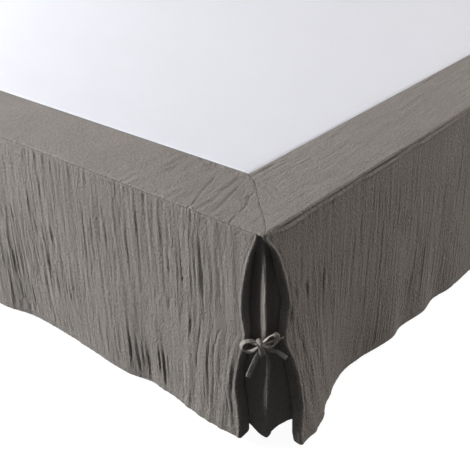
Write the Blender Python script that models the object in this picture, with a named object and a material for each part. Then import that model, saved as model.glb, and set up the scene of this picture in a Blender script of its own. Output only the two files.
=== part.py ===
"""A gauze bed skirt on a plain bed base.

A flat platform cloth lies on the base inside a wide mitred band. Straight drops hang from the band on the
two sides and at the foot. Each foot corner is split as an inverted pleat: the drops' ends fold back, a strip
of gauze hangs behind them, and two tube ties draw the folds together with a bow.

Metres, +Z up, the foot of the bed at -Y, the floor at Z = 0.
"""

import math
from collections import namedtuple

import bmesh
import bpy
from mathutils import Vector

# Driving sizes
BED_WIDTH = 1.60
BED_LENGTH = 2.00
DROP = 0.40
HEM_CLEARANCE = 0.012
BAND_WIDTH = 0.15
CLOTH = 0.002
UNDERLAY_CLOTH = 0.0015
GAP = 0.0003

# The support under the cloth
BASE_INSET = 0.014
BASE_CORNER_RADIUS = 0.100
BASE_EDGE_RADIUS = 0.004
BASE_CORNER_STEPS = 8
FOOT_HEIGHT = 0.150
FOOT_RADIUS = 0.030
FOOT_INSET = 0.130
FOOT_SIDES = 24

# Heights that follow from the sizes above
TOP = HEM_CLEARANCE + DROP
CLOTH_UNDERSIDE = TOP - CLOTH
BASE_TOP = CLOTH_UNDERSIDE - GAP

# Edges sharper than this stay crisp
CREASE_ANGLE = math.radians(40)

# Mesh density of the hanging cloth
FALLS = (0.0, 0.040, 0.090, 0.140, 0.190, 0.220, 0.270, 0.320, 0.360, DROP)
NEAR_STEP = 0.010
MIDDLE_STEP = 0.018
FAR_STEP = 0.050
NEAR_REACH = 0.200
MIDDLE_REACH = 0.400
FOLD_STEPS = 4
RETURN_STEPS = 6
UNDERLAY_STEPS = 16

# The turned edge of a drop, where it folds back into the split corner
FOLD_RADIUS = 0.0022
OPEN_DEPTH = 0.018
TUCK_LENGTH = 0.014
TUCK_RISE = 0.010

# Fold edges of the split corner. A row is one height: the fall below the top edge, then for the side drop
# and for the foot drop how far the fold edge lies from the corner and how deep the return reaches behind it.
EdgeRow = namedtuple("EdgeRow", "fall side_edge side_depth foot_edge foot_depth")
EDGE_ROWS = (
    EdgeRow(0.000, 0.0125, 0.0060, 0.0040, 0.0060),
    EdgeRow(0.045, 0.0255, 0.0125, 0.0305, 0.0140),
    EdgeRow(0.100, 0.0385, 0.0195, 0.0500, 0.0195),
    EdgeRow(0.150, 0.0420, 0.0195, 0.0590, 0.0200),
    EdgeRow(0.190, 0.0360, 0.0160, 0.0480, 0.0165),
    EdgeRow(0.215, 0.0410, 0.0170, 0.0450, 0.0190),
    EdgeRow(0.250, 0.0490, 0.0205, 0.0560, 0.0245),
    EdgeRow(0.300, 0.0560, 0.0240, 0.0630, 0.0270),
    EdgeRow(0.350, 0.0490, 0.0265, 0.0600, 0.0240),
    EdgeRow(0.400, 0.0455, 0.0285, 0.0400, 0.0190),
)

# How far the hem stands out from the face, at distances from the corner
HemRow = namedtuple("HemRow", "along out")
SIDE_HEM = (
    HemRow(0.000, 0.010), HemRow(0.085, 0.012), HemRow(0.137, 0.010), HemRow(0.186, 0.003),
    HemRow(0.262, -0.006), HemRow(0.325, 0.004), HemRow(0.434, -0.003), HemRow(0.531, -0.009),
    HemRow(0.620, -0.008), HemRow(0.698, 0.008), HemRow(0.800, 0.002),
)
FOOT_HEM = (
    HemRow(0.000, 0.046), HemRow(0.037, 0.046), HemRow(0.104, 0.038), HemRow(0.163, 0.011),
    HemRow(0.242, -0.012), HemRow(0.296, -0.011), HemRow(0.392, 0.003), HemRow(0.435, -0.004),
    HemRow(0.510, 0.004), HemRow(0.564, -0.004), HemRow(0.620, 0.004), HemRow(0.714, 0.002),
    HemRow(0.800, -0.002),
)
CORNER_GROWTH = 3.0
FACE_GROWTH = 2.2
GROWTH_REACH = 0.150

# Past the part that the folds above describe, the hem keeps waving: height, wavelength and phase
WaveRow = namedtuple("WaveRow", "height length phase")
HEM_WAVES = (WaveRow(0.0045, 0.310, 0.4), WaveRow(0.0035, 0.190, 2.1), WaveRow(0.0020, 0.117, 4.0))
RIGHT_PHASE = 1.7
WAVE_START = 0.60
WAVE_BLEND = 0.20

# Soft folds of the drops near a split corner. A row is one fold: where it starts, where it ends, how far
# it stands out (a hollow is negative) and its half width.
FoldRow = namedtuple("FoldRow", "fall_a along_a fall_b along_b height half_width")
SIDE_FOLDS = (
    FoldRow(0.190, 0.066, 0.420, 0.090, 0.0040, 0.009),
    FoldRow(0.180, 0.090, 0.420, 0.116, 0.0036, 0.009),
    FoldRow(0.190, 0.116, 0.420, 0.138, 0.0032, 0.010),
    FoldRow(0.185, 0.154, 0.420, 0.173, 0.0030, 0.011),
    FoldRow(0.230, 0.250, 0.420, 0.237, 0.0024, 0.014),
    FoldRow(0.020, 0.152, 0.180, 0.160, 0.0030, 0.012),
    FoldRow(0.050, 0.100, 0.190, 0.075, -0.0034, 0.016),
)
FOOT_FOLDS = (
    FoldRow(0.195, 0.066, 0.420, 0.082, 0.0040, 0.010),
    FoldRow(0.190, 0.092, 0.420, 0.125, 0.0034, 0.011),
    FoldRow(0.180, 0.122, 0.420, 0.178, 0.0028, 0.013),
    FoldRow(0.110, 0.098, 0.195, 0.062, 0.0026, 0.009),
    FoldRow(0.100, 0.082, 0.200, 0.052, -0.0026, 0.008),
)
FOLD_FADE = 0.22

# Course of the strip behind the split, seen from above: x along the foot face and y along the side face,
# both from the corner, at the top edge, in the open split, at the tie and at the hem.
StripRow = namedtuple("StripRow", "top split tie hem")
STRIP_ROWS = (
    StripRow((0.0100, 0.0520), (0.0225, 0.0620), (0.0215, 0.0620), (0.0330, 0.0680)),
    StripRow((0.0105, 0.0330), (0.0265, 0.0460), (0.0240, 0.0440), (0.0255, 0.0480)),
    StripRow((0.0110, 0.0200), (0.0200, 0.0290), (0.0180, 0.0300), (0.0168, 0.0320)),
    StripRow((0.0120, 0.0120), (0.0125, 0.0150), (0.0140, 0.0165), (0.0185, 0.0205)),
    StripRow((0.0200, 0.0110), (0.0290, 0.0180), (0.0280, 0.0165), (0.0420, 0.0155)),
    StripRow((0.0330, 0.0105), (0.0540, 0.0255), (0.0490, 0.0240), (0.0620, 0.0130)),
    StripRow((0.0520, 0.0100), (0.0700, 0.0195), (0.0680, 0.0195), (0.0840, 0.0060)),
)
STRIP_FALLS = (0.0, 0.065, 0.205, DROP)

# The bow, in a vertical plane across the corner: across is along the plane, inward is behind it
KNOT = dict(across=-0.0045, inward=0.0100, height=0.1990)
KNOT_HALF_SIZES = (0.0050, 0.0055, 0.0072)
TIE_RADIUS = 0.0024
TAIL_RADIUS = 0.0023
TIE_SIDES = 8
LOOP_STEPS = 15
LEAD_STEPS = 5
TAIL_STEPS = 8
BowRow = namedtuple("BowRow", "across inward height")
SIDE_LOOP = (
    BowRow(-0.0070, 0.0100, 0.2035), BowRow(-0.0150, 0.0075, 0.2090), BowRow(-0.0245, 0.0060, 0.2115),
    BowRow(-0.0330, 0.0065, 0.2085), BowRow(-0.0360, 0.0070, 0.2020), BowRow(-0.0320, 0.0070, 0.1955),
    BowRow(-0.0235, 0.0065, 0.1925), BowRow(-0.0150, 0.0080, 0.1950), BowRow(-0.0070, 0.0100, 0.1980),
)
FOOT_LOOP = (
    BowRow(-0.0020, 0.0100, 0.2035), BowRow(0.0050, 0.0070, 0.2110), BowRow(0.0120, 0.0050, 0.2185),
    BowRow(0.0205, 0.0045, 0.2210), BowRow(0.0245, 0.0050, 0.2150), BowRow(0.0215, 0.0055, 0.2060),
    BowRow(0.0145, 0.0060, 0.2000), BowRow(0.0065, 0.0075, 0.1982), BowRow(-0.0020, 0.0100, 0.1985),
)
SIDE_TAIL = (
    BowRow(-0.0065, 0.0083, 0.1919), BowRow(-0.0101, 0.0057, 0.1853), BowRow(-0.0150, 0.0040, 0.1740),
    BowRow(-0.0215, 0.0030, 0.1575), BowRow(-0.0285, 0.0025, 0.1400),
)
FOOT_TAIL = (
    BowRow(-0.0011, 0.0100, 0.1929), BowRow(0.0045, 0.0095, 0.1882), BowRow(0.0120, 0.0085, 0.1850),
    BowRow(0.0240, 0.0060, 0.1800), BowRow(0.0375, 0.0030, 0.1715),
)
TIE_FALL = 0.203
LEAD_CLEARANCE = 0.0014
LEAD_SAG = (0.0, 0.0010, -0.0010)

# Colours, from the cloth in shade and light
TAUPE = (0.235, 0.216, 0.202, 1.0)
WHITE = (0.850, 0.855, 0.870, 1.0)
TICKING = (0.620, 0.600, 0.565, 1.0)
FOOT_WOOD = (0.180, 0.110, 0.065, 1.0)

SIDES = {"left": -1, "right": 1}


def clear_scene():
    for obj in list(bpy.data.objects):
        bpy.data.objects.remove(obj, do_unlink=True)


def make_material(name, colour, roughness):
    material = bpy.data.materials.new(name)
    material.use_nodes = True
    shader = material.node_tree.nodes["Principled BSDF"]
    shader.inputs["Base Color"].default_value = colour
    shader.inputs["Roughness"].default_value = roughness
    shader.inputs["Metallic"].default_value = 0.0
    return material


def add_object(name, data, material=None):
    obj = bpy.data.objects.new(name, data)
    bpy.context.scene.collection.objects.link(obj)
    if material:
        data.materials.append(material)
    return obj


def mesh_from_bmesh(name, shape):
    bmesh.ops.recalc_face_normals(shape, faces=shape.faces)
    mesh = bpy.data.meshes.new(name)
    shape.to_mesh(mesh)
    shape.free()
    return mesh


def smooth_shading(mesh):
    mesh.shade_smooth()
    mesh.set_sharp_from_angle(angle=CREASE_ANGLE)


def smooth(low, high, value):
    """0 below low, 1 above high, and an S between them."""
    t = min(max((value - low) / (high - low), 0.0), 1.0)
    return t * t * (3.0 - 2.0 * t)


def spline(keys, values, at):
    """A smooth curve through the values at the keys, without overshoot at the ends."""
    last = len(keys) - 1
    if at <= keys[0]:
        return values[0]
    if at >= keys[last]:
        return values[last]
    i = max(k for k in range(last) if keys[k] <= at)
    span = keys[i + 1] - keys[i]
    t = (at - keys[i]) / span

    def slope(k):
        if k in (0, last):
            return 0.0
        return (values[k + 1] - values[k - 1]) / (keys[k + 1] - keys[k - 1])

    a, b = values[i], values[i + 1]
    return (
        a * (2 * t**3 - 3 * t**2 + 1)
        + b * (3 * t**2 - 2 * t**3)
        + slope(i) * span * (t**3 - 2 * t**2 + t)
        + slope(i + 1) * span * (t**3 - t**2)
    )


def curve_through(points, count):
    """count points spaced evenly along a smooth curve through the given ones."""
    points = [Vector(p) for p in points]
    keys = [0.0]
    for a, b in zip(points, points[1:]):
        keys.append(keys[-1] + (b - a).length)
    size = len(points[0])
    return [
        Vector([spline(keys, [p[c] for p in points], keys[-1] * n / (count - 1)) for c in range(size)])
        for n in range(count)
    ]


def in_world(side, x, y, z):
    """A place given from the foot corner: x along the foot face and y along the side face, both inward."""
    sign = SIDES[side]
    return Vector((sign * (BED_WIDTH / 2 - x), y - BED_LENGTH / 2, z))


def height_at(fall):
    """The height of a point of the hanging cloth that lies this far down its fall."""
    return BASE_TOP - (BASE_TOP - HEM_CLEARANCE) * fall / DROP


def edge_value(column, fall):
    return spline([r.fall for r in EDGE_ROWS], [getattr(r, column) for r in EDGE_ROWS], fall)


def hem_out(face, along, phase):
    """How far the hem stands out: the measured folds near the corner, then waves."""
    rows = SIDE_HEM if face == "side" else FOOT_HEM
    near = spline([r.along for r in rows], [r.out for r in rows], along)
    waves = sum(w.height * math.sin(2 * math.pi * along / w.length + w.phase + phase) for w in HEM_WAVES)
    far = smooth(WAVE_START, WAVE_START + WAVE_BLEND, along)
    return near * (1.0 - far) + waves * far


def fold_out(face, along, fall):
    """The soft folds near the corner, each a ridge or hollow along its own line."""
    total = 0.0
    for row in SIDE_FOLDS if face == "side" else FOOT_FOLDS:
        t = (fall - row.fall_a) / (row.fall_b - row.fall_a)
        if not 0.0 < t < 1.0:
            continue
        centre = row.along_a + (row.along_b - row.along_a) * t
        ends = smooth(0.0, FOLD_FADE, t) * (1.0 - smooth(1.0 - FOLD_FADE, 1.0, t) * (row.fall_b < DROP))
        total += row.height * ends * math.exp(-(((along - centre) / row.half_width) ** 2))
    return total


def face_out(face, along, fall, phase):
    """How far a drop's outer face stands out from the corner's upright plane."""
    near = math.exp(-((along / GROWTH_REACH) ** 2))
    growth = (fall / DROP) ** (FACE_GROWTH + (CORNER_GROWTH - FACE_GROWTH) * near)
    return hem_out(face, along, phase) * growth + fold_out(face, along, fall)


def split_edge(face, fall, phase):
    """The folded end of a drop at one height, as (along, out) pairs from the hidden end to the face.

    At the top edge the end lies flat behind the drop. Where the split opens, it reaches straight inward,
    turns, and tucks back towards the drop: is_open runs from 0 to 1 between the two.
    """
    depth = edge_value(face + "_depth", fall)
    start = edge_value(face + "_edge", fall) + FOLD_RADIUS
    out = face_out(face, start, fall, phase) - CLOTH / 2
    centre = (start, out - FOLD_RADIUS)
    is_open = smooth(2.0 * FOLD_RADIUS, OPEN_DEPTH, depth)
    legs = (
        (start + TUCK_LENGTH, out - depth + TUCK_RISE * is_open),
        (start + TUCK_LENGTH * (1.0 - 0.35 * is_open), out - depth + 0.35 * TUCK_RISE * is_open),
        (start + TUCK_LENGTH * (1.0 - 0.75 * is_open), out - depth),
        (start + FOLD_RADIUS * (1.0 - 1.3 * is_open), out - depth * (1.0 - 0.22 * is_open)),
        (start - FOLD_RADIUS * is_open, out - FOLD_RADIUS * (2.0 - 0.6 * is_open)),
    )
    path = curve_through(legs, RETURN_STEPS + 1)
    first = math.pi * (1.5 - 0.42 * is_open)
    for n in range(1, FOLD_STEPS + 1):
        angle = first + (math.pi / 2 - first) * n / FOLD_STEPS
        path.append(
            Vector((centre[0] + FOLD_RADIUS * math.cos(angle), centre[1] + FOLD_RADIUS * math.sin(angle)))
        )
    return path


def stations(far_end):
    """Distances from the corner for the columns of a drop, close together near the split."""
    result = []
    along = NEAR_STEP
    while along < far_end:
        result.append(along)
        along += NEAR_STEP if along < NEAR_REACH else MIDDLE_STEP if along < MIDDLE_REACH else FAR_STEP
    return result


def drop_columns(face, side, far_end, phase):
    """Columns of points, top to bottom, from a drop's folded end to far_end along the face."""
    split = [split_edge(face, fall, phase) for fall in FALLS]
    columns = []

    def to_world(along, out, fall):
        z = height_at(fall)
        return in_world(side, -out, along, z) if face == "side" else in_world(side, along, -out, z)

    for i in range(len(split[0])):
        columns.append([to_world(path[i][0], path[i][1], fall) for path, fall in zip(split, FALLS)])
    for step in stations(far_end - NEAR_STEP) + [far_end]:
        share = step / far_end
        column = []
        for path, fall in zip(split, FALLS):
            start = path[-1][0]
            along = start + (far_end - start) * share
            column.append(to_world(along, face_out(face, along, fall, phase) - CLOTH / 2, fall))
        columns.append(column)
    return columns


def sheet(name, columns, thickness, material):
    """A closed sheet of even thickness around a grid of middle points."""
    shape = bmesh.new()
    wide, tall = len(columns), len(columns[0])
    front, back = [], []
    for i in range(wide):
        front.append([])
        back.append([])
        for j in range(tall):
            across = columns[min(i + 1, wide - 1)][j] - columns[max(i - 1, 0)][j]
            down = columns[i][min(j + 1, tall - 1)] - columns[i][max(j - 1, 0)]
            normal = across.cross(down)
            normal.z = 0.0
            half = normal.normalized() * thickness / 2
            front[i].append(shape.verts.new(columns[i][j] + half))
            back[i].append(shape.verts.new(columns[i][j] - half))
    for i in range(wide - 1):
        for j in range(tall - 1):
            shape.faces.new((front[i][j], front[i + 1][j], front[i + 1][j + 1], front[i][j + 1]))
            shape.faces.new((back[i][j], back[i][j + 1], back[i + 1][j + 1], back[i + 1][j]))
    rim = [(0, j) for j in range(tall)] + [(i, tall - 1) for i in range(1, wide)]
    rim += [(wide - 1, j) for j in range(tall - 2, -1, -1)] + [(i, 0) for i in range(wide - 2, 0, -1)]
    for (i, j), (k, m) in zip(rim, rim[1:] + rim[:1]):
        shape.faces.new((front[i][j], back[i][j], back[k][m], front[k][m]))
    mesh = mesh_from_bmesh(name, shape)
    smooth_shading(mesh)
    return add_object(name, mesh, material)


def plate(name, outline, low, high, material, bevel=0.0, steps=1):
    """An upright extrusion of a flat outline, with its edges eased where bevel is given."""
    shape = bmesh.new()
    face = shape.faces.new([shape.verts.new((x, y, low)) for x, y in outline])
    lifted = bmesh.ops.extrude_face_region(shape, geom=[face])
    corners = [v for v in lifted["geom"] if isinstance(v, bmesh.types.BMVert)]
    bmesh.ops.translate(shape, vec=(0, 0, high - low), verts=corners)
    obj = add_object(name, mesh_from_bmesh(name, shape), material)
    if bevel:
        modifier = obj.modifiers.new("eased_edges", "BEVEL")
        modifier.width = bevel
        modifier.segments = steps
        modifier.limit_method = "ANGLE"
        modifier.angle_limit = CREASE_ANGLE
    return obj


def round_rectangle(half_x, half_y, radius, steps):
    """A rectangle outline with round corners, anticlockwise."""
    outline = []
    for quarter, (sx, sy) in enumerate(((1, 1), (-1, 1), (-1, -1), (1, -1))):
        for n in range(steps + 1):
            angle = math.pi / 2 * (quarter + n / steps)
            outline.append((
                sx * (half_x - radius) + radius * math.cos(angle),
                sy * (half_y - radius) + radius * math.sin(angle),
            ))
    return outline


def build_support(ticking, wood):
    half_x = BED_WIDTH / 2 - BASE_INSET
    half_y = BED_LENGTH / 2 - BASE_INSET
    outline = round_rectangle(half_x, half_y, BASE_CORNER_RADIUS, BASE_CORNER_STEPS)
    base = plate("bed_base", outline, FOOT_HEIGHT, BASE_TOP, ticking, BASE_EDGE_RADIUS, 2)
    smooth_shading(base.data)
    for end, y in (("foot", FOOT_INSET - half_y), ("head", half_y - FOOT_INSET)):
        for side, sign in SIDES.items():
            shape = bmesh.new()
            bmesh.ops.create_cone(
                shape, cap_ends=True, segments=FOOT_SIDES, radius1=FOOT_RADIUS, radius2=FOOT_RADIUS,
                depth=FOOT_HEIGHT - GAP,
            )
            name = f"bed_foot_{end}_{side}"
            mesh = mesh_from_bmesh(name, shape)
            smooth_shading(mesh)
            leg = add_object(name, mesh, wood)
            leg.location = (sign * (half_x - FOOT_INSET), y, (FOOT_HEIGHT - GAP) / 2)


def build_platform(white, taupe):
    """The platform cloth and the band round it, mitred at the foot corners and level on top."""
    half_x, half_y = BED_WIDTH / 2, BED_LENGTH / 2
    inner_x, inner_y = half_x - BAND_WIDTH, half_y - BAND_WIDTH
    seam = GAP / 2
    mitre = seam * math.sqrt(2)
    deck = (
        (-inner_x + seam, -inner_y + seam), (inner_x - seam, -inner_y + seam),
        (inner_x - seam, half_y), (-inner_x + seam, half_y),
    )
    plate("deck_panel", deck, CLOTH_UNDERSIDE, TOP, white)
    for side, sign in SIDES.items():
        band = (
            (sign * half_x, -half_y + mitre), (sign * half_x, half_y), (sign * (inner_x + seam), half_y),
            (sign * (inner_x + seam), -inner_y + mitre + seam),
        )
        plate(f"band_{side}", band, CLOTH_UNDERSIDE, TOP, taupe)
    foot = (
        (-half_x + mitre, -half_y), (half_x - mitre, -half_y),
        (inner_x - mitre + seam, -inner_y - seam), (-inner_x + mitre - seam, -inner_y - seam),
    )
    plate("band_foot", foot, CLOTH_UNDERSIDE, TOP, taupe)


def build_drops(taupe):
    sheet("drop_left", drop_columns("side", "left", BED_LENGTH, 0.0), CLOTH, taupe)
    sheet("drop_right", drop_columns("side", "right", BED_LENGTH, RIGHT_PHASE), CLOTH, taupe)
    left = drop_columns("foot", "left", BED_WIDTH / 2, 0.0)
    right = drop_columns("foot", "right", BED_WIDTH / 2, 0.0)
    sheet("drop_foot", left + right[-2::-1], CLOTH, taupe)


def strip_course(fall):
    """The strip's middle line at one height, as (x, y) from the corner."""
    points = []
    for row in STRIP_ROWS:
        points.append([spline(STRIP_FALLS, [level[axis] for level in row], fall) for axis in (0, 1)])
    return curve_through(points, UNDERLAY_STEPS)


def build_underlays(taupe):
    for side in SIDES:
        courses = [strip_course(fall) for fall in FALLS]
        columns = []
        for i in range(UNDERLAY_STEPS):
            column = []
            for course, fall in zip(courses, FALLS):
                column.append(in_world(side, course[i][0], course[i][1], height_at(fall)))
            columns.append(column)
        sheet(f"underlay_{side}", columns, UNDERLAY_CLOTH, taupe)


def bow_place(side, across, inward, height):
    """A place by the bow: across the corner, inward from it, and its height above the hem."""
    x = (inward + across) / math.sqrt(2)
    y = (inward - across) / math.sqrt(2)
    return in_world(side, x, y, height + HEM_CLEARANCE)


def tube(name, path, radius, sides):
    """A closed tube along a path of points."""
    shape = bmesh.new()
    rings = []
    normal = None
    for i, point in enumerate(path):
        ahead = (path[min(i + 1, len(path) - 1)] - path[max(i - 1, 0)]).normalized()
        if normal is None:
            normal = ahead.orthogonal().normalized()
        normal = (normal - ahead * normal.dot(ahead)).normalized()
        second = ahead.cross(normal)
        rings.append([
            shape.verts.new(point + radius * (
                normal * math.cos(2 * math.pi * n / sides) + second * math.sin(2 * math.pi * n / sides)))
            for n in range(sides)
        ])
    for a, b in zip(rings, rings[1:]):
        for n in range(sides):
            m = (n + 1) % sides
            shape.faces.new((a[n], a[m], b[m], b[n]))
    shape.faces.new(rings[0][::-1])
    shape.faces.new(rings[-1])
    return mesh_from_bmesh(name, shape)


def half_knot(name, side, face):
    """One half of the knot: an egg cut by an upright plane, a gap away from the other half."""
    shape = bmesh.new()
    bmesh.ops.create_uvsphere(shape, u_segments=12, v_segments=8, radius=1.0)
    bmesh.ops.scale(shape, vec=KNOT_HALF_SIZES, verts=shape.verts)
    sign = -1.0 if face == "side" else 1.0
    cut = bmesh.ops.bisect_plane(
        shape, geom=shape.verts[:] + shape.edges[:] + shape.faces[:],
        plane_co=(sign * GAP / 2, 0, 0), plane_no=(-sign, 0, 0), clear_outer=True,
    )
    rim = [e for e in cut["geom_cut"] if isinstance(e, bmesh.types.BMEdge)]
    bmesh.ops.edgeloop_fill(shape, edges=rim)
    for vert in shape.verts:
        x, y, z = vert.co
        vert.co = bow_place(side, KNOT["across"] + x, KNOT["inward"] + y, KNOT["height"] + z)
    return mesh_from_bmesh(name, shape)


def lead_path(side, face):
    """From the fold edge that a tie is sewn to, into the knot."""
    edge = edge_value(face + "_edge", TIE_FALL) - LEAD_CLEARANCE
    out = face_out(face, edge, TIE_FALL, 0.0) - FOLD_RADIUS
    x, y = (-out, edge) if face == "side" else (edge, -out)
    across, inward = (x - y) / math.sqrt(2), (x + y) / math.sqrt(2)
    start = Vector((across, inward, DROP - TIE_FALL))
    sign = -1.0 if face == "side" else 1.0
    end = Vector((KNOT["across"] + sign * KNOT_HALF_SIZES[0] / 2, KNOT["inward"], KNOT["height"]))
    middle = (start + end) / 2 + Vector(LEAD_SAG)
    return [bow_place(side, *p) for p in curve_through((start, middle, end), LEAD_STEPS)]


def build_bow(side, taupe):
    for face, loop, tail in (("side", SIDE_LOOP, SIDE_TAIL), ("foot", FOOT_LOOP, FOOT_TAIL)):
        tie = add_object(f"tie_{face}_{side}", half_knot("knot", side, face), taupe)
        loop_path = [bow_place(side, *p) for p in curve_through(loop, LOOP_STEPS)]
        for part, path in (("loop", loop_path), ("lead", lead_path(side, face))):
            piece = add_object(f"{part}_{face}_{side}", tube(part, path, TIE_RADIUS, TIE_SIDES))
            piece.hide_render = True
            piece.display_type = "WIRE"
            joining = tie.modifiers.new(part, "BOOLEAN")
            joining.operation = "UNION"
            joining.object = piece
        curve = bpy.data.curves.new(f"tail_{face}", "CURVE")
        curve.dimensions = "3D"
        curve.bevel_depth = TAIL_RADIUS
        curve.bevel_resolution = 2
        curve.use_fill_caps = True
        line = curve.splines.new("POLY")
        points = curve_through([bow_place(side, *p) for p in tail], TAIL_STEPS)
        line.points.add(len(points) - 1)
        for target, point in zip(line.points, points):
            target.co = (*point, 1.0)
        add_object(f"tail_{face}_{side}", curve, taupe)


def centre_on_floor():
    """Moves everything sideways so that the whole object's outline is centred on the origin."""
    graph = bpy.context.evaluated_depsgraph_get()
    places = []
    for obj in bpy.data.objects:
        if not obj.hide_render:
            evaluated = obj.evaluated_get(graph)
            places += [evaluated.matrix_world @ vert.co for vert in evaluated.to_mesh().vertices]
            evaluated.to_mesh_clear()
    for axis in (0, 1):
        low = min(place[axis] for place in places)
        high = max(place[axis] for place in places)
        for obj in bpy.data.objects:
            obj.location[axis] -= (low + high) / 2


def main():
    clear_scene()
    taupe = make_material("taupe_gauze", TAUPE, 0.95)
    white = make_material("white_cotton", WHITE, 0.90)
    ticking = make_material("base_fabric", TICKING, 0.90)
    wood = make_material("foot_wood", FOOT_WOOD, 0.55)
    build_support(ticking, wood)
    build_platform(white, taupe)
    build_drops(taupe)
    build_underlays(taupe)
    for side in SIDES:
        build_bow(side, taupe)
    centre_on_floor()


main()
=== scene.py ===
"""The looks of the gauze bed skirt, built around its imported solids.

Each cloth piece is a closed thin sheet on the folds of its solid, with the crinkles of double gauze, sewn
seams, a stitched hem and a bow of flat tube ties. Metres, +Z up, the foot of the bed at -Y.
"""

import math
from collections import namedtuple

import bpy
import numpy as np
from mathutils import Matrix, Vector


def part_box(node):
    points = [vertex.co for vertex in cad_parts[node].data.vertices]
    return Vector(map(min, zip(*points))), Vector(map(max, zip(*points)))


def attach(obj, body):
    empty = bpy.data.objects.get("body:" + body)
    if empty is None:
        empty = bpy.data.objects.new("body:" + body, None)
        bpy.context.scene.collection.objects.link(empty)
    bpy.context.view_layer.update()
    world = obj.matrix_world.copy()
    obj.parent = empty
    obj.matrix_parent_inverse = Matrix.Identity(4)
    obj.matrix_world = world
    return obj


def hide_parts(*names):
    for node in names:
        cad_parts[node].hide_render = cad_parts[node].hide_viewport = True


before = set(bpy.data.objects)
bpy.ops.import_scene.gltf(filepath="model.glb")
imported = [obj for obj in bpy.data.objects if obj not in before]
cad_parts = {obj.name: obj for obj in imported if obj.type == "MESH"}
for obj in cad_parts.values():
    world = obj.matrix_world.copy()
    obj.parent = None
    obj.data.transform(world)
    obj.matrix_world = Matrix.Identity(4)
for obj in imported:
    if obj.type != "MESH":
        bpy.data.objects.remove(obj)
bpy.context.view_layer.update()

# Sizes of the solids, as in the part
BED_WIDTH = 1.60
BED_LENGTH = 2.00
DROP = 0.40
HEM_CLEARANCE = 0.012
BAND_WIDTH = 0.15
CLOTH = 0.002
BASE_TOP = 0.4097
FOLD_RADIUS = 0.0022
OPEN_DEPTH = 0.018
TUCK_LENGTH = 0.014
TUCK_RISE = 0.010

# The whole object is centred on the origin, so the bed itself lies a little towards the head
BED_SHIFT = sum(corner.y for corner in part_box("bed_base")) / 2
SIDES = {"left": -1, "right": 1}

# Fold edges of the split corner at each fall below the top edge, for the side drop and the foot drop
EdgeRow = namedtuple("EdgeRow", "fall side_edge side_depth foot_edge foot_depth")
EDGE_ROWS = (
    EdgeRow(0.000, 0.0125, 0.0060, 0.0040, 0.0060),
    EdgeRow(0.045, 0.0255, 0.0125, 0.0305, 0.0140),
    EdgeRow(0.100, 0.0385, 0.0195, 0.0500, 0.0195),
    EdgeRow(0.150, 0.0420, 0.0195, 0.0590, 0.0200),
    EdgeRow(0.190, 0.0360, 0.0160, 0.0480, 0.0165),
    EdgeRow(0.215, 0.0410, 0.0170, 0.0450, 0.0190),
    EdgeRow(0.250, 0.0490, 0.0205, 0.0560, 0.0245),
    EdgeRow(0.300, 0.0560, 0.0240, 0.0630, 0.0270),
    EdgeRow(0.350, 0.0490, 0.0265, 0.0600, 0.0240),
    EdgeRow(0.400, 0.0455, 0.0285, 0.0400, 0.0190),
)

# How far the hem stands out from the face, at distances from the corner
HemRow = namedtuple("HemRow", "along out")
SIDE_HEM = (
    HemRow(0.000, 0.010), HemRow(0.085, 0.012), HemRow(0.137, 0.010), HemRow(0.186, 0.003),
    HemRow(0.262, -0.006), HemRow(0.325, 0.004), HemRow(0.434, -0.003), HemRow(0.531, -0.009),
    HemRow(0.620, -0.008), HemRow(0.698, 0.008), HemRow(0.800, 0.002),
)
FOOT_HEM = (
    HemRow(0.000, 0.046), HemRow(0.037, 0.046), HemRow(0.104, 0.038), HemRow(0.163, 0.011),
    HemRow(0.242, -0.012), HemRow(0.296, -0.011), HemRow(0.392, 0.003), HemRow(0.435, -0.004),
    HemRow(0.510, 0.004), HemRow(0.564, -0.004), HemRow(0.620, 0.004), HemRow(0.714, 0.002),
    HemRow(0.800, -0.002),
)
CORNER_GROWTH = 3.0
FACE_GROWTH = 2.2
GROWTH_REACH = 0.150
WaveRow = namedtuple("WaveRow", "height length phase")
HEM_WAVES = (WaveRow(0.0045, 0.310, 0.4), WaveRow(0.0035, 0.190, 2.1), WaveRow(0.0020, 0.117, 4.0))
RIGHT_PHASE = 1.7
WAVE_START = 0.60
WAVE_BLEND = 0.20

# Soft folds of the drops near a split corner: start, end, height and half width of each
FoldRow = namedtuple("FoldRow", "fall_a along_a fall_b along_b height half_width")
SIDE_FOLDS = (
    FoldRow(0.190, 0.066, 0.420, 0.090, 0.0019, 0.009),
    FoldRow(0.180, 0.090, 0.420, 0.116, 0.0017, 0.009),
    FoldRow(0.190, 0.116, 0.420, 0.138, 0.0016, 0.010),
    FoldRow(0.185, 0.154, 0.420, 0.173, 0.0015, 0.011),
    FoldRow(0.230, 0.250, 0.420, 0.237, 0.0024, 0.014),
    FoldRow(0.020, 0.152, 0.180, 0.160, 0.0014, 0.012),
    FoldRow(0.050, 0.100, 0.190, 0.075, -0.0018, 0.016),
)
FOOT_FOLDS = (
    FoldRow(0.195, 0.066, 0.420, 0.082, 0.0026, 0.010),
    FoldRow(0.190, 0.092, 0.420, 0.125, 0.0022, 0.011),
    FoldRow(0.180, 0.122, 0.420, 0.178, 0.0019, 0.013),
    FoldRow(0.110, 0.098, 0.195, 0.062, 0.0014, 0.009),
    FoldRow(0.150, 0.070, 0.205, 0.050, -0.0016, 0.006),
)
FOLD_FADE = 0.22

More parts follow.
